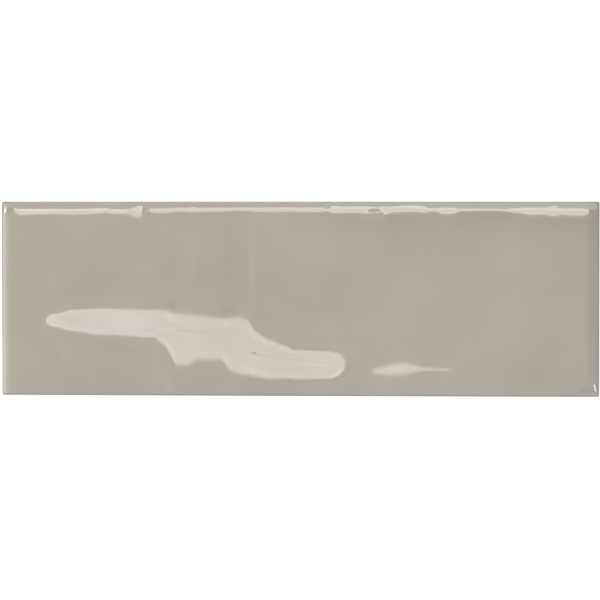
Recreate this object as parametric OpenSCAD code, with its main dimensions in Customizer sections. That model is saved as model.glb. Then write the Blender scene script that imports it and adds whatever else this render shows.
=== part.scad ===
// Glazed ceramic wall tile with a softly rippled, hand-made look, laid flat on its back.
// X runs along the length, Y across the width and Z out of the glazed face.
// The origin is the centre of the back, on the plane that beds into the adhesive.

/* [Tile] */
// Length of the tile
tile_length = 200; // [120:1:300]
// Width of the tile
tile_width = 65; // [50:1:120]
// Thickness from the back to the level of the face between its ripples
tile_thickness = 8; // [6:0.1:12]

/* [Edges] */
// Radius of the four corners, seen from the front
corner_radius = 0.6; // [0.6:0.1:3]
// Radius of the arris that the glaze rolls over
arris_radius = 0.5; // [0.3:0.1:1.2]
// How far in from a side its roll can be felt
roll_reach = 5; // [3:0.5:8]
// Slope of the face outside the shoulder of a roll, as rise over run
roll_slope = 0.25; // [0.05:0.01:0.35]
// Chamfer round the back, left by the press die
back_chamfer = 0.4; // [0.1:0.1:0.5]

/* [Face ripples] */
// Steepest slope of the ripples at full strength, as rise over run
ripple_slope = 0.045; // [0:0.005:0.08]

/* [Back] */
// Width of the plain land round the back
back_land = 5; // [3:0.5:8]
// Width of the ribs between the key pockets
rib_width = 2; // [1:0.25:4]
// Pitch that the key pockets come nearest to
pocket_pitch = 14; // [8:0.5:20]
// Depth of the key pockets
pocket_depth = 0.8; // [0.3:0.1:1.5]
// How far a pocket's wall leans out on its way to the mouth
pocket_draft = 0.3; // [0.1:0.1:0.6]

/* [Mesh] */
// Steps along the flat of the face
steps_long = 95; // [20:1:100]
// Steps across the flat of the face
steps_wide = 20; // [8:1:20]

/* [Hidden] */
half_length = tile_length / 2;
half_width = tile_width / 2;
// How far a cut runs past the face it opens on
overrun = 0.5;

// The long ripple, left to right. Each row is a place along the length, then the ripple's
// centre line and its half width as shares of the width, and its strength.
long_ripple_shares = [
    [-0.442, -0.112, 0.034, 0.00],
    [-0.412, -0.114, 0.062, 0.95],
    [-0.378, -0.116, 0.096, 1.00],
    [-0.336, -0.124, 0.118, 1.00],
    [-0.244, -0.131, 0.122, 1.00],
    [-0.227, -0.156, 0.162, 1.00],
    [-0.204, -0.227, 0.258, 1.00],
    [-0.188, -0.230, 0.256, 1.00],
    [-0.168, -0.214, 0.216, 1.00],
    [-0.130, -0.218, 0.200, 1.02],
    [-0.116, -0.248, 0.253, 1.05],
    [-0.102, -0.259, 0.270, 1.08],
    [-0.086, -0.268, 0.264, 1.10],
    [-0.070, -0.299, 0.208, 1.15],
    [-0.050, -0.320, 0.184, 1.18],
    [-0.026, -0.328, 0.154, 1.20],
    [-0.008, -0.342, 0.136, 1.22],
    [0.050, -0.343, 0.120, 1.30],
    [0.110, -0.330, 0.100, 0.00],
];
// The short ripple to the right of it, in the same terms
short_ripple_shares = [
    [0.113, -0.370, 0.020, 0.00],
    [0.130, -0.370, 0.030, 1.05],
    [0.158, -0.363, 0.048, 1.35],
    [0.175, -0.358, 0.050, 1.35],
    [0.192, -0.356, 0.036, 1.30],
    [0.206, -0.358, 0.018, 1.20],
    [0.247, -0.362, 0.012, 1.05],
    [0.262, -0.362, 0.010, 0.00],
];
// The lumpy roll along the upper side. Each row is a place along the length, then how far in
// the shoulder lies and how softly it turns, as shares of the roll's reach.
upper_roll_shares = [
    [-0.500, 0.37, 0.12],
    [-0.480, 0.37, 0.06],
    [-0.470, 0.41, 0.14],
    [-0.427, 0.40, 0.13],
    [-0.407, 0.41, 0.12],
    [-0.380, 0.41, 0.13],
    [-0.353, 0.39, 0.13],
    [-0.322, 0.38, 0.09],
    [-0.314, 0.44, 0.11],
    [-0.290, 0.43, 0.11],
    [-0.274, 0.29, 0.22],
    [-0.263, 0.28, 0.22],
    [-0.253, 0.38, 0.10],
    [-0.236, 0.38, 0.11],
    [-0.175, 0.35, 0.12],
    [-0.152, 0.35, 0.10],
    [-0.102, 0.35, 0.10],
    [-0.018, 0.32, 0.10],
    [0.016, 0.31, 0.11],
    [0.039, 0.33, 0.10],
    [0.046, 0.46, 0.05],
    [0.059, 0.24, 0.15],
    [0.086, 0.22, 0.15],
    [0.118, 0.21, 0.15],
    [0.142, 0.24, 0.16],
    [0.167, 0.19, 0.15],
    [0.193, 0.26, 0.12],
    [0.210, 0.30, 0.13],
    [0.220, 0.40, 0.07],
    [0.231, 0.40, 0.07],
    [0.238, 0.29, 0.16],
    [0.258, 0.31, 0.14],
    [0.268, 0.43, 0.05],
    [0.328, 0.44, 0.04],
    [0.341, 0.48, 0.04],
    [0.361, 0.37, 0.10],
    [0.388, 0.30, 0.17],
    [0.408, 0.33, 0.15],
    [0.425, 0.25, 0.22],
    [0.438, 0.38, 0.14],
    [0.455, 0.33, 0.18],
    [0.472, 0.35, 0.17],
    [0.486, 0.43, 0.13],
    [0.500, 0.43, 0.13],
];
// The roll along the lower side, which is fuller at its right end, in the same terms
lower_roll_shares = [
    [-0.500, 0.26, 0.07],
    [0.460, 0.26, 0.07],
    [0.485, 0.44, 0.18],
    [0.500, 0.35, 0.16],
];
// The shoulders and softness of the even rolls at the two ends, as shares of the roll's reach
left_roll_shares = [0.34, 0.20];
right_roll_shares = [0.26, 0.25];
// Where the mesh lines near an edge lie, as shares of the arris radius and of what is left
// of the roll's reach
arris_line_shares = [0, 0.03, 0.13, 0.3, 0.6, 1];
roll_line_shares = [0.12, 0.25, 0.38, 0.55, 0.75];

function reversed(list) = [for (i = [len(list) - 1:-1:0]) list[i]];
function ease(t) = t * t * (3 - 2 * t);
function clamped(t) = min(1, max(0, t));

// The last row of a table that the place u has passed
function last_row(rows, u, i = 0) =
    i >= len(rows) - 2 || u < rows[i + 1][0] ? i : last_row(rows, u, i + 1);

// The values of a table at the place u, eased from each row to the next
function at_place(rows, u) =
    let (
        i = last_row(rows, u),
        before = rows[i],
        after = rows[i + 1],
        run = ease(clamped((u - before[0]) / (after[0] - before[0])))
    )
    [for (k = [1:len(before) - 1]) before[k] + (after[k] - before[k]) * run];

// A ripple is a low hump and a shallow hollow on either side of a wandering line
function ripple(rows, x, y) =
    let (
        values = at_place(rows, x / tile_length),
        half = tile_width * values[1],
        t = (y - tile_width * values[0]) / half
    )
    -ripple_slope * values[2] * half * t * exp(-t * t / 2);

// How far the face has fallen at an inset from a side: a straight slope that turns softly
// into the flat at its shoulder
function roll(inset, shares) =
    let (soft = roll_reach * shares[1])
    roll_slope * soft * ln(1 + exp((roll_reach * shares[0] - inset) / soft));

// The quarter round at the very edge
function arris(inset) =
    let (t = 1 - clamped(inset / arris_radius))
    arris_radius * (1 - sqrt(1 - t * t));

function face_height(x, y) =
    let (
        u = x / tile_length,
        left = half_length + x,
        right = half_length - x,
        lower = half_width + y,
        upper = half_width - y
    )
    tile_thickness
    + ripple(long_ripple_shares, x, y)
    + ripple(short_ripple_shares, x, y)
    - roll(upper, at_place(upper_roll_shares, u))
    - roll(lower, at_place(lower_roll_shares, u))
    - roll(left, left_roll_shares)
    - roll(right, right_roll_shares)
    - arris(min(left, right, lower, upper));

// Moves a point of a square corner out to the round one, along a line from its centre
function rounded(x, y) =
    let (
        px = abs(x) - half_length + corner_radius,
        py = abs(y) - half_width + corner_radius
    )
    px <= 0 || py <= 0
        ? [x, y]
        : let (k = max(px, py) / norm([px, py]))
            [sign(x) * (half_length - corner_radius + px * k),
             sign(y) * (half_width - corner_radius + py * k)];

// The mesh lines across one direction, close together where the face rolls over its edges
edge_lines = concat(
    [for (share = arris_line_shares) arris_radius * share],
    [for (share = roll_line_shares) arris_radius + (roll_reach - arris_radius) * share]
);
function mesh_lines(size, steps) =
    let (flat = size - 2 * roll_reach)
    concat(
        [for (inset = edge_lines) inset - size / 2],
        [for (i = [0:steps]) (i / steps - 1 / 2) * flat],
        reversed([for (inset = edge_lines) size / 2 - inset])
    );
x_lines = mesh_lines(tile_length, steps_long);
y_lines = mesh_lines(tile_width, steps_wide);
nx = len(x_lines);
ny = len(y_lines);

// The outline's corners in order, anticlockwise from the front, as places in the grid
rim = concat(
    [for (i = [0:nx - 2]) [i, 0]],
    [for (j = [0:ny - 2]) [nx - 1, j]],
    [for (i = [nx - 1:-1:1]) [i, ny - 1]],
    [for (j = [ny - 1:-1:1]) [0, j]]
);
n_rim = len(rim);
n_face = nx * ny;

function face_point(i, j) =
    concat(rounded(x_lines[i], y_lines[j]), face_height(x_lines[i], y_lines[j]));
function rim_point(k, inset, z) =
    let (
        x = x_lines[rim[k][0]] * (1 - inset / half_length),
        y = y_lines[rim[k][1]] * (1 - inset / half_width)
    )
    concat(rounded(x, y), z);

// The pressed and glazed body, before the back is keyed
module pressed_body() {
    points = concat(
        [for (j = [0:ny - 1], i = [0:nx - 1]) face_point(i, j)],
        [for (k = [0:n_rim - 1]) rim_point(k, 0, back_chamfer)],
        [for (k = [0:n_rim - 1]) rim_point(k, back_chamfer, 0)]
    );
    top = [for (j = [0:ny - 2], i = [0:nx - 2], half = [0, 1])
        let (a = j * nx + i, b = a + 1, c = a + nx, d = c + 1)
        half == 0 ? [a, c, d] : [a, d, b]];
    wall = [for (k = [0:n_rim - 1], half = [0, 1])
        let (
            m = (k + 1) % n_rim,
            a = rim[k][1] * nx + rim[k][0],
            b = rim[m][1] * nx + rim[m][0],
            c = n_face + k,
            d = n_face + m
        )
        half == 0 ? [a, b, d] : [a, d, c]];
    chamfer = [for (k = [0:n_rim - 1], half = [0, 1])
        let (
            m = (k + 1) % n_rim,
            a = n_face + k,
            b = n_face + m,
            c = a + n_rim,
            d = b + n_rim
        )
        half == 0 ? [a, b, d] : [a, d, c]];
    back = [[for (k = [0:n_rim - 1]) n_face + n_rim + k]];
    polyhedron(points, concat(top, wall, chamfer, back));
}

// One key pocket, its mouth on the back and its walls leaning in towards the floor
module key_pocket(mouth) {
    reach = mouth / 2;
    lean = pocket_draft / pocket_depth;
    levels = [-overrun, pocket_depth];
    corners = [[-1, -1], [1, -1], [1, 1], [-1, 1]];
    polyhedron(
        [for (z = levels, c = corners)
            [c.x * (reach.x - z * lean), c.y * (reach.y - z * lean), z]],
        [[0, 1, 2, 3], [7, 6, 5, 4], [0, 4, 5, 1], [1, 5, 6, 2], [2, 6, 7, 3], [3, 7, 4, 0]]
    );
}

// The rows of pockets that give the adhesive its key
module key_pockets() {
    room = [tile_length, tile_width] - 2 * [back_land, back_land];
    count = [for (size = room) max(1, round((size + rib_width) / pocket_pitch))];
    pitch = [for (axis = [0, 1]) (room[axis] + rib_width) / count[axis]];
    for (i = [0:count.x - 1], j = [0:count.y - 1])
        translate([
            (i - (count.x - 1) / 2) * pitch.x,
            (j - (count.y - 1) / 2) * pitch.y,
            0
        ])
            key_pocket(pitch - [rib_width, rib_width]);
}

module tile() {
    color("#a09787")
        difference() {
            pressed_body();
            key_pockets();
        }
}

tile();
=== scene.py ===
"""A glazed wall tile with a softly rippled face, and a plain studio to show it in.

The tile is one fired piece, 65 by 200 mm. It lies on its back with its glazed face up: X runs
along its length, Y across its width and Z out of the face. All lengths are in metres.
"""

import functools
import math

import bmesh
import bpy
from mathutils import Matrix, Vector, noise


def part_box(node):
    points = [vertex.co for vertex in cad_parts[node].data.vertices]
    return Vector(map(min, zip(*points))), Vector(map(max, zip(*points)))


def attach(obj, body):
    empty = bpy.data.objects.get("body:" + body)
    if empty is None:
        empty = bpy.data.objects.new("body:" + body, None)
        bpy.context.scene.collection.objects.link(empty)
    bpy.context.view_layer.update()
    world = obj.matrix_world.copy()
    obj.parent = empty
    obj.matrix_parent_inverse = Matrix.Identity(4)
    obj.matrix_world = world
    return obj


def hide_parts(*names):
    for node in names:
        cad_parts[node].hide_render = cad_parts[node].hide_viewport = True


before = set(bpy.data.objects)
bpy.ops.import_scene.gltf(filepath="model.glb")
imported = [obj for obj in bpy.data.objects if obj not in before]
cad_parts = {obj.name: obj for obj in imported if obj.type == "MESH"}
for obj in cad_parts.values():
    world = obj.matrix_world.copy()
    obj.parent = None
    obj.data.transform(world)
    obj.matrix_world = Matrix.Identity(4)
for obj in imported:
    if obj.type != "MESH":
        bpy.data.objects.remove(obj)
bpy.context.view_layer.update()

bl_info = {
    "name": "Rippled Glazed Tile",
    "version": (1, 0, 0),
    "blender": (4, 5, 0),
    "location": "View3D > Sidebar > Tile",
    "description": "Models a glazed wall tile with a rippled face, and a studio to show it in",
    "category": "Add Mesh",
}

TILE_LOW, TILE_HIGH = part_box("tile")
MM = 0.001

# Face of the tile. All the tables are in shares. Those of the ripples and the rolls say what
# the part's own source says, and the fold and the lumps are only here.

# The long ripple, left to right: place along the length, then the ripple's centre line and its
# half width as shares of the width, and its strength
LONG_RIPPLE_SHARES = (
    (-0.442, -0.112, 0.034, 0.00),
    (-0.412, -0.114, 0.062, 0.95),
    (-0.378, -0.116, 0.096, 1.00),
    (-0.336, -0.124, 0.118, 1.00),
    (-0.244, -0.131, 0.122, 1.00),
    (-0.227, -0.156, 0.162, 1.00),
    (-0.204, -0.227, 0.258, 1.00),
    (-0.188, -0.230, 0.256, 1.00),
    (-0.168, -0.214, 0.216, 1.00),
    (-0.130, -0.218, 0.200, 1.02),
    (-0.116, -0.248, 0.253, 1.05),
    (-0.102, -0.259, 0.270, 1.08),
    (-0.086, -0.268, 0.264, 1.10),
    (-0.070, -0.299, 0.208, 1.15),
    (-0.050, -0.320, 0.184, 1.18),
    (-0.026, -0.328, 0.154, 1.20),
    (-0.008, -0.342, 0.136, 1.22),
    (0.050, -0.343, 0.120, 1.30),
    (0.110, -0.330, 0.100, 0.00),
)
# The short ripple to the right of it, in the same terms
SHORT_RIPPLE_SHARES = (
    (0.113, -0.370, 0.020, 0.00),
    (0.130, -0.370, 0.030, 1.05),
    (0.158, -0.363, 0.048, 1.35),
    (0.175, -0.358, 0.050, 1.35),
    (0.192, -0.356, 0.036, 1.30),
    (0.206, -0.358, 0.018, 1.20),
    (0.247, -0.362, 0.012, 1.05),
    (0.262, -0.362, 0.010, 0.00),
)
# The soft fold in the glaze that follows the crest of the long ripple, in the same terms. Its
# strength is less than zero, because it leans the other way.
FOLD_SHARES = (
    (-0.280, -0.160, 0.012, 0.00),
    (-0.260, -0.162, 0.012, -0.36),
    (-0.195, -0.163, 0.012, -0.37),
    (-0.168, -0.168, 0.012, -0.39),
    (-0.118, -0.178, 0.012, -0.38),
    (-0.098, -0.224, 0.014, -0.52),
    (-0.071, -0.286, 0.014, -0.55),
    (-0.035, -0.307, 0.012, -0.55),
    (0.040, -0.316, 0.012, -0.48),
    (0.076, -0.318, 0.012, 0.00),
)
# The lumpy roll along the upper side: place along the length, then how far in the shoulder
# lies and how softly it turns, as shares of the roll's reach
UPPER_ROLL_SHARES = (
    (-0.500, 0.37, 0.12),
    (-0.480, 0.37, 0.06),
    (-0.470, 0.41, 0.14),
    (-0.427, 0.40, 0.13),
    (-0.407, 0.41, 0.12),
    (-0.380, 0.41, 0.13),
    (-0.353, 0.39, 0.13),
    (-0.322, 0.38, 0.09),
    (-0.314, 0.44, 0.11),
    (-0.290, 0.43, 0.11),
    (-0.274, 0.29, 0.22),
    (-0.263, 0.28, 0.22),
    (-0.253, 0.38, 0.10),
    (-0.236, 0.38, 0.11),
    (-0.175, 0.35, 0.12),
    (-0.152, 0.35, 0.10),
    (-0.102, 0.35, 0.10),
    (-0.018, 0.32, 0.10),
    (0.016, 0.31, 0.11),
    (0.039, 0.33, 0.10),
    (0.046, 0.46, 0.05),
    (0.059, 0.24, 0.15),
    (0.086, 0.22, 0.15),
    (0.118, 0.21, 0.15),
    (0.142, 0.24, 0.16),
    (0.167, 0.19, 0.15),
    (0.193, 0.26, 0.12),
    (0.210, 0.30, 0.13),
    (0.220, 0.40, 0.07),
    (0.231, 0.40, 0.07),
    (0.238, 0.29, 0.16),
    (0.258, 0.31, 0.14),
    (0.268, 0.43, 0.05),
    (0.328, 0.44, 0.04),
    (0.341, 0.48, 0.04),
    (0.361, 0.37, 0.10),
    (0.388, 0.30, 0.17),
    (0.408, 0.33, 0.15),
    (0.425, 0.25, 0.22),
    (0.438, 0.38, 0.14),
    (0.455, 0.33, 0.18),
    (0.472, 0.35, 0.17),
    (0.486, 0.43, 0.13),
    (0.500, 0.43, 0.13),
)
# The roll along the lower side, which is fuller at its right end, in the same terms
LOWER_ROLL_SHARES = (
    (-0.500, 0.26, 0.07),
    (0.460, 0.26, 0.07),
    (0.485, 0.44, 0.18),
    (0.500, 0.35, 0.16),
)
TABLES = {
    "long_ripple": LONG_RIPPLE_SHARES,
    "short_ripple": SHORT_RIPPLE_SHARES,
    "fold": FOLD_SHARES,
    "upper_roll": UPPER_ROLL_SHARES,
    "lower_roll": LOWER_ROLL_SHARES,
}
# The shoulders and softness of the even rolls at the two ends, as shares of the roll's reach
END_ROLL_SHARES = {"left": (0.34, 0.20), "right": (0.26, 0.25)}
# Small lumps in the glaze, and dents, whose height is less than zero: place along and across
# as shares of the length and the width, reach along and across as shares of the roll's reach,
# and height as a share of the arris radius
LUMP_SHARES = (
    (0.126, 0.440, 0.50, 0.20, 0.400),
    (0.143, 0.451, 0.16, 0.16, -0.090),
    (-0.255, 0.449, 0.16, 0.22, 0.340),
    (-0.320, 0.485, 0.60, 0.12, 0.070),
    (-0.266, 0.485, 0.40, 0.12, 0.080),
    (-0.239, 0.485, 0.45, 0.12, -0.070),
    (-0.214, 0.487, 0.40, 0.12, 0.070),
    (-0.175, 0.485, 0.35, 0.12, 0.080),
    (-0.157, 0.487, 0.35, 0.12, -0.070),
    (0.019, 0.485, 0.80, 0.12, -0.060),
    (0.053, 0.485, 0.40, 0.12, 0.080),
    (0.120, 0.493, 1.50, 0.12, -0.050),
    (0.200, 0.487, 0.90, 0.12, 0.070),
    (0.252, 0.487, 0.55, 0.12, -0.080),
    (0.279, 0.485, 0.25, 0.12, 0.080),
    (0.296, 0.485, 0.35, 0.12, -0.060),
    (0.321, 0.485, 0.50, 0.12, 0.070),
    (0.435, 0.487, 1.20, 0.12, 0.060),
    (-0.076, -0.286, 0.24, 0.16, -0.020),
)
# How the glaze's lower edge wanders along the sides: the length of each wave and its share
GLAZE_EDGE_WAVES = ((6 * MM, 1), (2 * MM, 0.25))
# A pocket's wall from its mouth to its floor, rounded at both: shares of the draft and depth
POCKET_WALL_SHARES = ((0.25, 0.04), (0.15, 0.10), (0.35, 0.72), (0.25, 0.14))
# A part of the back's grid is a pocket if it is this many ribs wide both ways
POCKET_RIBS = 1.5
# Edges that turn by more than these angles stay crisp, on the flat back and elsewhere
BACK_CREASE = math.radians(1)
CREASE = math.radians(30)
LEVEL_DOWN = -0.999

SLOT = "glazed_earthenware"


def linear(hex_colour):
    """An sRGB hex colour as a linear colour with alpha."""
    channels = [int(hex_colour[i:i + 2], 16) / 255 for i in (1, 3, 5)]
    return [c / 12.92 if c <= 0.04045 else ((c + 0.055) / 1.055) ** 2.4 for c in channels] + [1.0]


def length_property(name, description, default):
    """A size of the tile that a user can change."""
    return bpy.props.FloatProperty(
        name=name, description=description, default=default, unit="LENGTH"
    )


def colour_property(name, description, hex_colour):
    """A colour of the tile that a user can change."""
    return bpy.props.FloatVectorProperty(
        name=name,
        description=description,
        default=linear(hex_colour),
        size=4,
        min=0,
        max=1,
        subtype="COLOR",
    )


class TileSizes(bpy.types.PropertyGroup):
    """Sizes of the tile"""

    length: length_property(
        "Length",
        "Length of the tile",
        TILE_HIGH.x - TILE_LOW.x,
    )
    width: length_property(
        "Width",
        "Width of the tile",
        TILE_HIGH.y - TILE_LOW.y,
    )
    thickness: length_property(
        "Thickness",
        "Thickness from the back to the level of the face between its ripples",
        8 * MM,
    )
    corner_radius: length_property(
        "Corner radius",
        "Radius of the four corners, seen from the front",
        0.6 * MM,
    )
    arris_radius: length_property(
        "Arris radius",
        "Radius of the arris that the glaze rolls over",
        0.5 * MM,
    )
    roll_reach: length_property(
        "Roll reach",
        "How far in from a side its roll can be felt",
        5 * MM,
    )
    roll_slope: bpy.props.FloatProperty(
        name="Roll slope",
        description="Slope of the face outside the shoulder of a roll, as rise over run",
        default=0.25,
    )
    ripple_slope: bpy.props.FloatProperty(
        name="Ripple slope",
        description="Steepest slope of the ripples, as rise over run",
        default=0.045,
    )
    glaze_run: length_property(
        "Glaze run",
        "How far the glaze has run down the sides from the arris",
        2 * MM,
    )
    glaze_waver: length_property(
        "Glaze waver",
        "How far the glaze's lower edge wanders up and down",
        0.9 * MM,
    )
    glaze_thickness: length_property(
        "Glaze thickness",
        "How far the glaze stands off the bare body",
        0.12 * MM,
    )
    back_chamfer: length_property(
        "Back chamfer",
        "Chamfer round the back, left by the press die",
        0.4 * MM,
    )
    back_land: length_property(
        "Back land",
        "Width of the plain land round the back",
        5 * MM,
    )
    rib_width: length_property(
        "Rib width",
        "Width of the ribs between the key pockets",
        2 * MM,
    )
    pocket_pitch: length_property(
        "Pocket pitch",
        "Pitch that the key pockets come nearest to",
        14 * MM,
    )
    pocket_depth: length_property(
        "Pocket depth",
        "Depth of the key pockets",
        0.8 * MM,
    )
    pocket_draft: length_property(
        "Pocket draft",
        "How far a pocket's wall leans out on its way to the mouth",
        0.3 * MM,
    )
    grid_pitch: length_property(
        "Grid pitch",
        "Spacing of the mesh on the flat of the face",
        0.45 * MM,
    )


class TileColours(bpy.types.PropertyGroup):
    """Colours of the tile's finish"""

    glaze: colour_property(
        "Glaze",
        "Colour of the glaze",
        "#9F9483",
    )
    glaze_thick: colour_property(
        "Thick glaze",
        "Colour of the glaze where it lies thicker",
        "#9A8F7E",
    )
    speck: colour_property(
        "Speck",
        "Colour of the specks under the glaze",
        "#6E675A",
    )
    biscuit: colour_property(
        "Biscuit",
        "Colour of the bare fired body",
        "#D6CAB5",
    )
    biscuit_light: colour_property(
        "Light biscuit",
        "Colour of the lighter grains of the body",
        "#E4DAC8",
    )


def ease(t):
    return t * t * (3 - 2 * t)


@functools.lru_cache(maxsize=None)
def at_place(table, u):
    """The values of a table at the place u, eased from each row to the next."""
    rows = TABLES[table]
    u = min(max(u, rows[0][0]), rows[-1][0])
    i = max(k for k in range(len(rows) - 1) if rows[k][0] <= u)
    before, after = rows[i], rows[i + 1]
    run = ease((u - before[0]) / (after[0] - before[0]))
    return [a + (b - a) * run for a, b in zip(before[1:], after[1:])]


def ripple(size, table, x, y):
    """A low hump and a shallow hollow on either side of a wandering line."""
    centre, half, strength = at_place(table, x / size.length)
    t = (y / size.width - centre) / half
    return -size.ripple_slope * strength * half * size.width * t * math.exp(-t * t / 2)


def roll(size, inset, shoulder_share, soft_share):
    """How far the face has fallen at an inset from a side: a straight slope that turns softly
    into the flat at its shoulder."""
    soft = soft_share * size.roll_reach
    t = (shoulder_share * size.roll_reach - inset) / soft
    return size.roll_slope * soft * math.log1p(math.exp(t))


def arris(size, inset):
    """The quarter round at the very edge."""
    t = 1 - min(inset / size.arris_radius, 1)
    return size.arris_radius * (1 - math.sqrt(1 - t * t))


def lumps(size, x, y):
    """How high the small lumps stand at a place."""
    height = 0
    for along, across, reach_along, reach_across, share in LUMP_SHARES:
        u = (x - along * size.length) / (reach_along * size.roll_reach)
        v = (y - across * size.width) / (reach_across * size.roll_reach)
        height += share * size.arris_radius * math.exp(-u * u - v * v)
    return height


def face_height(size, x, y):
    """Height of the glazed face above the back."""
    left, right = size.length / 2 + x, size.length / 2 - x
    lower, upper = size.width / 2 + y, size.width / 2 - y
    return (
        size.thickness
        + ripple(size, "long_ripple", x, y)
        + ripple(size, "short_ripple", x, y)
        + ripple(size, "fold", x, y)
        + lumps(size, x, y)
        - roll(size, upper, *at_place("upper_roll", x / size.length))
        - roll(size, lower, *at_place("lower_roll", x / size.length))
        - roll(size, left, *END_ROLL_SHARES["left"])
        - roll(size, right, *END_ROLL_SHARES["right"])
        - arris(size, max(0, min(left, right, lower, upper)))
    )


def spread(share, size, reach):
    """Where a grid line goes, from its even share of -1 to 1: evenly across the flat, and closer
    and closer together towards the edge."""
    flat = size / 2 - reach
    flat_share = flat / (flat + 2 * reach)
    if abs(share) < flat_share:
        return share / flat_share * flat
    left_over = (1 - abs(share)) / (1 - flat_share)
    return math.copysign(size / 2 - reach * left_over ** 2, share)


def rounded(size, x, y):
    """Moves a point of a square corner out to the round one, along a line from its centre."""
    px = abs(x) - size.length / 2 + size.corner_radius
    py = abs(y) - size.width / 2 + size.corner_radius
    if px <= 0 or py <= 0:
        return x, y
    k = max(px, py) / math.hypot(px, py)
    return (
        math.copysign(size.length / 2 - size.corner_radius + px * k, x),
        math.copysign(size.width / 2 - size.corner_radius + py * k, y),
    )


def loop_down(size, bm, edges, inset, place, cover=0):
    """Extrudes a loop of edges once, draws it in from the sides, and sets the height of each
    of its points and how well the glaze covers it."""
    glaze = bm.verts.layers.float["glaze"]
    grown = bmesh.ops.extrude_edge_only(bm, edges=edges)["geom"]
    for v in (g for g in grown if isinstance(g, bmesh.types.BMVert)):
        v.co.x *= 1 - inset / (size.length / 2)
        v.co.y *= 1 - inset / (size.width / 2)
        v.co.z = place(v.co)
        v[glaze] = cover
    return [g for g in grown if isinstance(g, bmesh.types.BMEdge)]


def add_face(size, bm):
    """The rippled face, a grid whose lines crowd towards the edges. Returns its rim."""
    glaze = bm.verts.layers.float["glaze"]
    segments = [
        round((extent + 2 * size.roll_reach) / size.grid_pitch)
        for extent in (size.length, size.width)
    ]
    bmesh.ops.create_grid(bm, x_segments=segments[0], y_segments=segments[1], size=1)
    for v in bm.verts:
        x = spread(v.co.x, size.length, size.roll_reach)
        y = spread(v.co.y, size.width, size.roll_reach)
        v.co = (x, y, face_height(size, x, y))
        v[glaze] = 1
    return [e for e in bm.edges if e.is_boundary]


def add_sides(size, bm, rim):
    """The sides: the glaze's uneven run, its thick lower edge, which is rounded in two steps,
    and the bare body down to the chamfer round the back."""
    def run_out(place):
        level = Vector((place.x, place.y, 0))
        wander = sum(noise.noise(level / wave) * share for wave, share in GLAZE_EDGE_WAVES)
        return place.z - size.glaze_run - size.glaze_waver * wander

    half = size.glaze_thickness / 2
    rim = loop_down(size, bm, rim, 0, run_out, cover=1)
    rim = loop_down(size, bm, rim, half / 2, lambda place: place.z - half, cover=1)
    rim = loop_down(size, bm, rim, half * 3 / 2, lambda place: place.z - half)
    chamfer = size.back_chamfer - size.glaze_thickness
    rim = loop_down(size, bm, rim, 0, lambda place: chamfer)
    loop_down(size, bm, rim, chamfer, lambda place: 0)


def add_back(size, bm):
    """The keyed back, which closes the mesh: a plain land round a grid of pockets and ribs, with
    the pockets pressed in."""
    room = [extent - 2 * size.back_land for extent in (size.length, size.width)]
    count = [max(1, round((r + size.rib_width) / size.pocket_pitch)) for r in room]
    pitch = [(r + size.rib_width) / n for r, n in zip(room, count)]
    lines = [2 * n - 1 for n in count]
    grid = bmesh.ops.create_grid(bm, x_segments=lines[0], y_segments=lines[1], size=1)["verts"]
    for v in grid:
        for axis in (0, 1):
            line = round((v.co[axis] + 1) / 2 * lines[axis])
            start = -room[axis] / 2 + (line // 2) * pitch[axis]
            v.co[axis] = start + (pitch[axis] - size.rib_width) * (line % 2)
        v.co.z = 0
    in_grid = set(grid)
    faces = [f for f in bm.faces if in_grid.issuperset(f.verts)]
    bmesh.ops.reverse_faces(bm, faces=faces)
    least = POCKET_RIBS * size.rib_width
    mouths = [f for f in faces if min(e.calc_length() for e in f.edges) > least]
    open_edges = [e for e in bm.edges if e.is_boundary]
    bmesh.ops.triangle_fill(bm, edges=open_edges, use_beauty=True)
    for draft_share, depth_share in POCKET_WALL_SHARES:
        bmesh.ops.inset_individual(
            bm,
            faces=mouths,
            thickness=size.pocket_draft * draft_share,
            depth=-size.pocket_depth * depth_share,
        )


def set_creases(bm):
    """Keeps the edges of the flat back crisp, and the sharp ones elsewhere."""
    for e in bm.edges:
        flat = any(f.normal.z < LEVEL_DOWN for f in e.link_faces)
        e.smooth = e.calc_face_angle(0) < (BACK_CREASE if flat else CREASE)


def build_tile(size):
    """The whole tile as one closed mesh."""
    bm = bmesh.new()
    bm.verts.layers.float.new("glaze")
    add_sides(size, bm, add_face(size, bm))
    add_back(size, bm)
    for v in bm.verts:
        v.co.x, v.co.y = rounded(size, v.co.x, v.co.y)
    bmesh.ops.recalc_face_normals(bm, faces=bm.faces)
    for f in bm.faces:
        f.smooth = True
    set_creases(bm)
    mesh = bpy.data.meshes.new("glazed_tile")
    bm.to_mesh(mesh)
    bm.free()
    return mesh


def node(tree, kind, settings=None, **inputs):
    """Adds a shader node with its settings, and gives its inputs values or links. An input is
    named as its socket is, with _ for a space, or as _ and its number."""
    made = tree.nodes.new(kind)
    for name, value in (settings or {}).items():
        setattr(made, name, value)
    for name, value in inputs.items():
        socket = made.inputs[int(name[1:]) if name[1:].isdigit() else name.replace("_", " ")]
        if isinstance(value, bpy.types.NodeSocket):
            tree.links.new(value, socket)
        else:
            socket.default_value = value
    return made


# The finish of the glaze and of the bare body
GLAZE_IOR = 1.5
GLAZE_ROUGHNESS = 0.05
BISCUIT_ROUGHNESS = 0.8
# The glaze is a little duller in a patch over the short ripple. The patch's centre and reach
# are shares of the length, the width and the thickness, and its core is a share of its reach.
DULL_ROUGHNESS = 0.135
DULL_CENTRE_SHARES = (0.195, -0.3646, 1)
DULL_REACH_SHARES = (0.105, 0.1077, 2.5)
DULL_CORE_SHARE = 0.6
# Cloudiness of the glaze, in patches of 22 mm with finer ones of 5 mm in them
CLOUD_LENGTH = 22 * MM
CLOUD_FINENESS = 0.45
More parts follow.
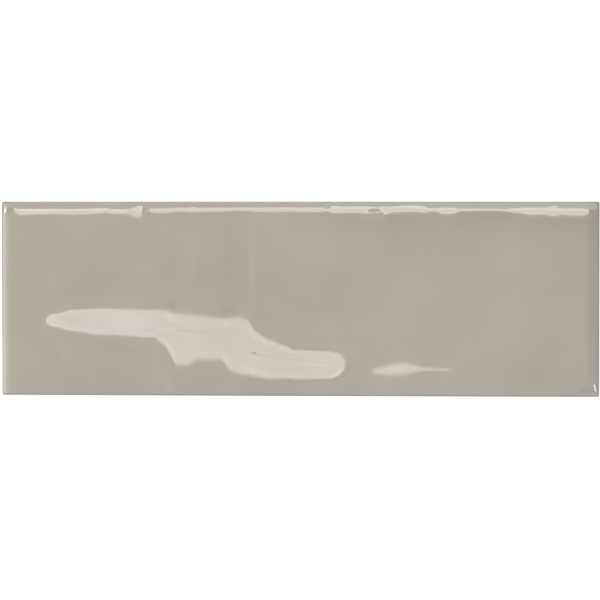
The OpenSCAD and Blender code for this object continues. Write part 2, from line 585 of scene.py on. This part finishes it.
# Specks under the glaze, up to 1.1 mm across: the cells that they may lie in, how far a speck
# reaches and how far its full colour does, how many cells have one, and how strongly it shows
SPECK_CELL = 11 * MM
SPECK_REACH = 0.55 * MM
SPECK_CORE = 0.22 * MM
SPECK_SHARE = 0.3
SPECK_STRENGTH = 0.28
# Grain of the pressed body. Real grains are under 0.1 mm, and 0.5 mm is as coarse as they
# need to be to show.
GRAIN_LENGTH = 0.5 * MM
GRAIN_DEPTH = 0.05 * MM
# The glaze's faint waver, 3 micrometres high over 7 mm, which bends reflections a little
WAVER_LENGTH = 7 * MM
WAVER_HEIGHT = 0.003 * MM
# The part of a noise's range that its pattern is drawn from
NOISE_LOW = 0.3
NOISE_HIGH = 0.7


def glazed_earthenware(size, colours):
    """Glazed earthenware: a pale clay body pressed dry, sprayed with glaze and fired once.

    To the eye the glaze is a thin layer of warm grey glass. It is smooth enough to mirror a
    window crisply, wavers a little, is faintly cloudy where it lies thicker, and has a few
    small specks. The body is matt, cream and fine-grained."""
    material = bpy.data.materials.new(SLOT)
    material.use_nodes = True
    tree = material.node_tree
    shader = tree.nodes["Principled BSDF"]
    extent = (size.length, size.width, size.thickness)
    place = node(tree, "ShaderNodeTexCoord").outputs["Object"]
    cover = node(tree, "ShaderNodeAttribute", {"attribute_name": "glaze"}).outputs["Fac"]

    # The glaze, cloudy where it lies thicker
    cloud = node(
        tree, "ShaderNodeTexNoise", None,
        Vector=place, Scale=1 / CLOUD_LENGTH, Detail=3, Roughness=CLOUD_FINENESS,
    ).outputs["Fac"]
    cloud = node(
        tree, "ShaderNodeMapRange", None, _0=cloud, _1=NOISE_LOW, _2=NOISE_HIGH
    ).outputs[0]
    glaze = node(
        tree, "ShaderNodeMix", {"data_type": "RGBA"},
        _0=cloud, _6=colours.glaze_thick, _7=colours.glaze,
    ).outputs[2]

    # Its specks
    cell = node(tree, "ShaderNodeTexVoronoi", Vector=place, Scale=1 / SPECK_CELL)
    near = node(
        tree, "ShaderNodeMapRange", {"interpolation_type": "SMOOTHSTEP"},
        _0=cell.outputs["Distance"], _1=SPECK_REACH / SPECK_CELL, _2=SPECK_CORE / SPECK_CELL,
    ).outputs[0]
    chosen = node(
        tree, "ShaderNodeSeparateColor", None, Color=cell.outputs["Color"]
    ).outputs["Red"]
    chosen = node(tree, "ShaderNodeMath", {"operation": "LESS_THAN"}, _0=chosen, _1=SPECK_SHARE)
    speck = node(
        tree, "ShaderNodeMath", {"operation": "MULTIPLY"}, _0=near, _1=chosen.outputs[0]
    ).outputs[0]
    speck = node(
        tree, "ShaderNodeMath", {"operation": "MULTIPLY"}, _0=speck, _1=SPECK_STRENGTH
    ).outputs[0]
    glaze = node(
        tree, "ShaderNodeMix", {"data_type": "RGBA"}, _0=speck, _6=glaze, _7=colours.speck
    ).outputs[2]

    # The body and its grain
    grain = node(
        tree, "ShaderNodeTexNoise", Vector=place, Scale=1 / GRAIN_LENGTH, Detail=4
    ).outputs["Fac"]
    grain_share = node(
        tree, "ShaderNodeMapRange", None, _0=grain, _1=NOISE_LOW, _2=NOISE_HIGH
    ).outputs[0]
    biscuit = node(
        tree, "ShaderNodeMix", {"data_type": "RGBA"},
        _0=grain_share, _6=colours.biscuit, _7=colours.biscuit_light,
    ).outputs[2]

    colour = node(
        tree, "ShaderNodeMix", {"data_type": "RGBA"}, _0=cover, _6=biscuit, _7=glaze
    ).outputs[2]

    # How dull the surface is: the body, the glaze, and the duller patch of glaze
    centre = [share * e for share, e in zip(DULL_CENTRE_SHARES, extent)]
    reach = [share * e for share, e in zip(DULL_REACH_SHARES, extent)]
    away = node(
        tree, "ShaderNodeVectorMath", {"operation": "SUBTRACT"}, _0=place, _1=centre
    ).outputs[0]
    away = node(
        tree, "ShaderNodeVectorMath", {"operation": "DIVIDE"}, _0=away, _1=reach
    ).outputs[0]
    away = node(tree, "ShaderNodeVectorMath", {"operation": "LENGTH"}, _0=away).outputs["Value"]
    glaze_rough = node(
        tree, "ShaderNodeMapRange", {"interpolation_type": "SMOOTHSTEP"},
        _0=away, _1=DULL_CORE_SHARE, _2=1, _3=DULL_ROUGHNESS, _4=GLAZE_ROUGHNESS,
    ).outputs[0]
    rough = node(
        tree, "ShaderNodeMapRange", None,
        _0=cover, _1=0, _2=1, _3=BISCUIT_ROUGHNESS, _4=glaze_rough,
    ).outputs[0]

    # The waver of the glaze, and the grain where the body is bare
    waver = node(
        tree, "ShaderNodeTexNoise", Vector=place, Scale=1 / WAVER_LENGTH, Detail=2
    ).outputs["Fac"]
    waver = node(
        tree, "ShaderNodeBump", None, Strength=cover, Distance=WAVER_HEIGHT, Height=waver
    ).outputs["Normal"]
    bare = node(tree, "ShaderNodeMath", {"operation": "SUBTRACT"}, _0=1, _1=cover).outputs[0]
    normal = node(
        tree, "ShaderNodeBump", None,
        Strength=bare, Distance=GRAIN_DEPTH, Height=grain, Normal=waver,
    ).outputs["Normal"]

    tree.links.new(colour, shader.inputs["Base Color"])
    tree.links.new(rough, shader.inputs["Roughness"])
    tree.links.new(normal, shader.inputs["Normal"])
    shader.inputs["IOR"].default_value = GLAZE_IOR
    return material


class TILE_OT_add_tile(bpy.types.Operator):
    """Add the glazed tile"""

    bl_idname = "tile.add_tile"
    bl_label = "Add Glazed Tile"
    bl_options = {"REGISTER", "UNDO"}

    def execute(self, context):
        scene = context.scene
        mesh = build_tile(scene.tile_sizes)
        mesh.materials.append(glazed_earthenware(scene.tile_sizes, scene.tile_colours))
        tile = bpy.data.objects.new("glazed_tile", mesh)
        scene.collection.objects.link(tile)
        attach(tile, "root")
        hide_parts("tile")
        return {"FINISHED"}


# Studio

# The camera stands almost straight above the tile, a little towards its right end and its
# upper side, far enough off that the tile shows hardly any perspective
CAMERA_DISTANCE = 1.1
CAMERA_YAW = math.radians(3.5)
CAMERA_PITCH = math.radians(2.1)
CAMERA_ROLL = math.radians(-0.02)
CAMERA_AIM = (0.38 * MM, -0.33 * MM)
CAMERA_CLIP = (0.01, 20)
# How wide a stretch of the tile's level fills the picture
FRAME_WIDTH = 200.4 * MM
SENSOR_WIDTH = 36 * MM

# The floor reaches this far from its middle, and glows this strongly from below
FLOOR_COLOUR = "#9A9A9A"
FLOOR_REACH = 6
FLOOR_GLOW = 0.75
ROOM_BRIGHTNESS = 0.2

# The soft panels hang level at one height. Each is given by its name, colour, brightness and
# window: how far left, right, down and up it reaches, as shares of that height. Then come the
# brightness that it changes to at its right edge and the share of its width that this takes,
# or None and 0 where it is even.
PANEL_HEIGHT = 16
PANELS = (
    # The window: its sill, its lower panes and its upper panes
    ("sill_left", "#FFFAFF", 8.6, (-0.18, -0.10, 0.008, 0.030), 6.9, 1),
    ("sill", "#FFFBFC", 6.8, (-0.10, -0.045, 0.008, 0.030), None, 0),
    ("sill_right", "#FFFBFC", 8.2, (-0.045, 0.10, 0.010, 0.030), 1.0, 0.35),
    ("low_left_end", "#FFFAFF", 8.2, (-0.18, -0.1385, 0.030, 0.070), None, 0),
    ("low_left_tip", "#FFFAFF", 5.6, (-0.1385, -0.116, 0.030, 0.070), 7.4, 0.9),
    ("low_left_pane", "#FFFAFF", 7.4, (-0.116, -0.10, 0.030, 0.070), 6.4, 1),
    ("low_pane", "#FFFAFC", 6.2, (-0.10, 0.10, 0.030, 0.070), None, 0),
    ("high_left_pane", "#F9FFFF", 10.5, (-0.18, -0.10, 0.070, 0.175), 7.4, 1),
    ("high_pane", "#FAFFFF", 7.4, (-0.10, -0.053, 0.070, 0.175), None, 0),
    ("high_right_pane", "#FAFFFF", 8.4, (-0.053, 0.10, 0.070, 0.175), None, 0),
    # The ceiling, from the window forwards, and the front of the room
    ("ceiling_rear", "#FFFFFF", 1.4, (-0.17, -0.045, -0.003, 0.008), 0.8, 0.20),
    ("ceiling_rear_right", "#FFFFFF", 1.25, (-0.045, 0.17, -0.004, 0.010), None, 0),
    ("ceiling_middle", "#FFFFFF", 1.4, (-0.17, -0.045, -0.013, -0.003), 0.25, 0.20),
    ("ceiling_middle_right", "#FFFFFF", 0.05, (-0.045, 0.10, -0.013, -0.004), None, 0),
    ("ceiling", "#FFFFFF", 1.35, (-0.17, 0.10, -0.060, -0.013), 0.75, 0.145),
    ("ceiling_edge", "#EAF5FF", 1.3, (-0.17, 0.10, -0.0635, -0.060), None, 0),
    ("front_near", "#D7EDFF", 1.25, (-0.17, 0.10, -0.073, -0.0635), None, 0),
    ("ceiling_front", "#FFFFFF", 1.4, (-0.17, -0.02, -0.16, -0.073), None, 0),
    ("front", "#BCE9FF", 1.7, (-0.17, -0.02, -0.6, -0.16), None, 0),
    ("front_right", "#E6F5FF", 1.5, (-0.02, 0.10, -0.6, -0.073), None, 0),
    # The right side, and the left side near the tile and farther off
    ("right", "#99BAFF", 1.05, (0.10, 0.31, -0.085, -0.020), None, 0),
    ("right_rear", "#99BAFF", 0.5, (0.10, 0.31, -0.020, -0.012), None, 0),
    ("right_front", "#97CEFF", 1.0, (0.10, 0.222, -0.40, -0.085), None, 0),
    ("right_far", "#B4DCFF", 2.2, (0.10, 0.31, -0.75, -0.40), None, 0),
    ("left", "#FFFFFF", 11.5, (-1.0, -0.23, -0.6, 0.014), 1.4, 1),
    ("left_near", "#E5F2FF", 1.77, (-0.23, -0.17, -0.6, 0.014), None, 0),
    # Above the window, and both rear corners
    ("rear_sill", "#DDEEFF", 1.8, (-0.40, 0.12, 0.175, 0.32), 3.4, 0.45),
    ("rear_low", "#D6E9FF", 2.1, (-0.40, 0.12, 0.32, 0.49), 3.7, 0.5),
    ("rear_high", "#D6E9FF", 2.9, (-0.40, 0.12, 0.49, 1.2), 3.5, 0.6),
    ("rear_far", "#E4F0FF", 4.8, (-0.40, 0.12, 1.2, 2.4), None, 0),
    ("rear_right", "#D6E9FF", 3.0, (0.12, 0.34, 0.175, 0.7), None, 0),
    ("left_rear", "#FFFFFF", 5.5, (-0.66, -0.40, 0.21, 0.62), 1.0, 0.8),
    # Two bright strips, which give the glints at the corners
    ("left_strip", "#FFFFFF", 16.0, (-0.57, -0.465, 0.014, 0.21), None, 0),
    ("right_strip", "#FFFAF4", 15.0, (0.222, 0.272, -0.34, -0.103), None, 0),
)


def add_object(name, data):
    made = bpy.data.objects.new(name, data)
    bpy.context.scene.collection.objects.link(made)
    return made


def add_panel(name, colour, bright, window, dim, fade):
    """A soft panel of light that faces down. Its brightness is its radiance."""
    left, right, low, high = (PANEL_HEIGHT * share for share in window)
    light = bpy.data.lights.new(name + "_panel", "AREA")
    light.shape = "RECTANGLE"
    light.size, light.size_y = right - left, high - low
    light.energy = bright * math.pi * light.size * light.size_y
    light.color = linear(colour)[:3]
    if fade:
        light.use_nodes = True
        tree = light.node_tree
        place = node(tree, "ShaderNodeNewGeometry").outputs["Parametric"]
        across = node(tree, "ShaderNodeSeparateXYZ", None, Vector=place).outputs["X"]
        strength = node(
            tree, "ShaderNodeMapRange", {"interpolation_type": "SMOOTHSTEP"},
            _0=across, _1=1, _2=1 - fade, _3=dim / bright, _4=1,
        ).outputs[0]
        tree.links.new(strength, tree.nodes["Emission"].inputs["Strength"])
    lamp = add_object(light.name, light)
    lamp.location = ((left + right) / 2, (low + high) / 2, PANEL_HEIGHT)


class TILE_OT_add_studio(bpy.types.Operator):
    """Add the floor, the lights and the camera"""

    bl_idname = "tile.add_studio"
    bl_label = "Add Studio"
    bl_options = {"REGISTER", "UNDO"}

    def execute(self, context):
        scene = context.scene
        add_floor()
        add_room(scene)
        for panel in PANELS:
            add_panel(*panel)
        add_camera(scene)
        return {"FINISHED"}


def add_floor():
    """A floor of opal sheet, lit faintly from below so that shadows on it stay pale."""
    bm = bmesh.new()
    bmesh.ops.create_grid(bm, x_segments=1, y_segments=1, size=FLOOR_REACH)
    mesh = bpy.data.meshes.new("floor")
    bm.to_mesh(mesh)
    bm.free()
    material = bpy.data.materials.new("opal_sheet")
    material.use_nodes = True
    shader = material.node_tree.nodes["Principled BSDF"]
    shader.inputs["Base Color"].default_value = linear(FLOOR_COLOUR)
    shader.inputs["Roughness"].default_value = 1.0
    shader.inputs["Specular IOR Level"].default_value = 0.0
    shader.inputs["Emission Color"].default_value = linear("#FFFFFF")
    shader.inputs["Emission Strength"].default_value = FLOOR_GLOW
    mesh.materials.append(material)
    add_object("floor", mesh)


def add_room(scene):
    """A dim, even room behind the panels."""
    world = bpy.data.worlds.new("studio")
    world.use_nodes = True
    background = world.node_tree.nodes["Background"]
    background.inputs["Color"].default_value = linear("#FFFFFF")
    background.inputs["Strength"].default_value = ROOM_BRIGHTNESS
    scene.world = world


def add_camera(scene):
    """The camera, upright along Y, looking down at the face."""
    data = bpy.data.cameras.new("camera")
    data.sensor_width = SENSOR_WIDTH / MM
    data.lens = CAMERA_DISTANCE / FRAME_WIDTH * data.sensor_width
    data.clip_start, data.clip_end = CAMERA_CLIP
    aim = Vector((*CAMERA_AIM, scene.tile_sizes.thickness))
    back = Vector((math.sin(CAMERA_YAW), math.sin(CAMERA_PITCH), 1)).normalized()
    right = Vector((0, 1, 0)).cross(back).normalized()
    axes = Matrix((right, back.cross(right), back)).transposed()
    camera = add_object("camera", data)
    camera.matrix_world = (
        Matrix.Translation(aim + back * CAMERA_DISTANCE)
        @ axes.to_4x4()
        @ Matrix.Rotation(CAMERA_ROLL, 4, "Z")
    )
    scene.camera = camera
    scene.view_settings.view_transform = "Standard"


class TILE_PT_panel(bpy.types.Panel):
    """Lists the tile's operators, sizes and colours"""

    bl_idname = "TILE_PT_panel"
    bl_label = "Rippled Glazed Tile"
    bl_space_type = "VIEW_3D"
    bl_region_type = "UI"
    bl_category = "Tile"

    def draw(self, context):
        layout = self.layout
        for operator in (TILE_OT_add_tile, TILE_OT_add_studio):
            layout.operator(operator.bl_idname)
        for group in (context.scene.tile_sizes, context.scene.tile_colours):
            for name in group.__annotations__:
                layout.prop(group, name)


CLASSES = (TileSizes, TileColours, TILE_OT_add_tile, TILE_OT_add_studio, TILE_PT_panel)


def register():
    for cls in CLASSES:
        bpy.utils.register_class(cls)
    bpy.types.Scene.tile_sizes = bpy.props.PointerProperty(type=TileSizes)
    bpy.types.Scene.tile_colours = bpy.props.PointerProperty(type=TileColours)


def unregister():
    del bpy.types.Scene.tile_colours
    del bpy.types.Scene.tile_sizes
    for cls in reversed(CLASSES):
        bpy.utils.unregister_class(cls)


def main():
    register()
    bpy.ops.tile.add_tile()
    bpy.ops.tile.add_studio()


if __name__ == "__main__":
    main()
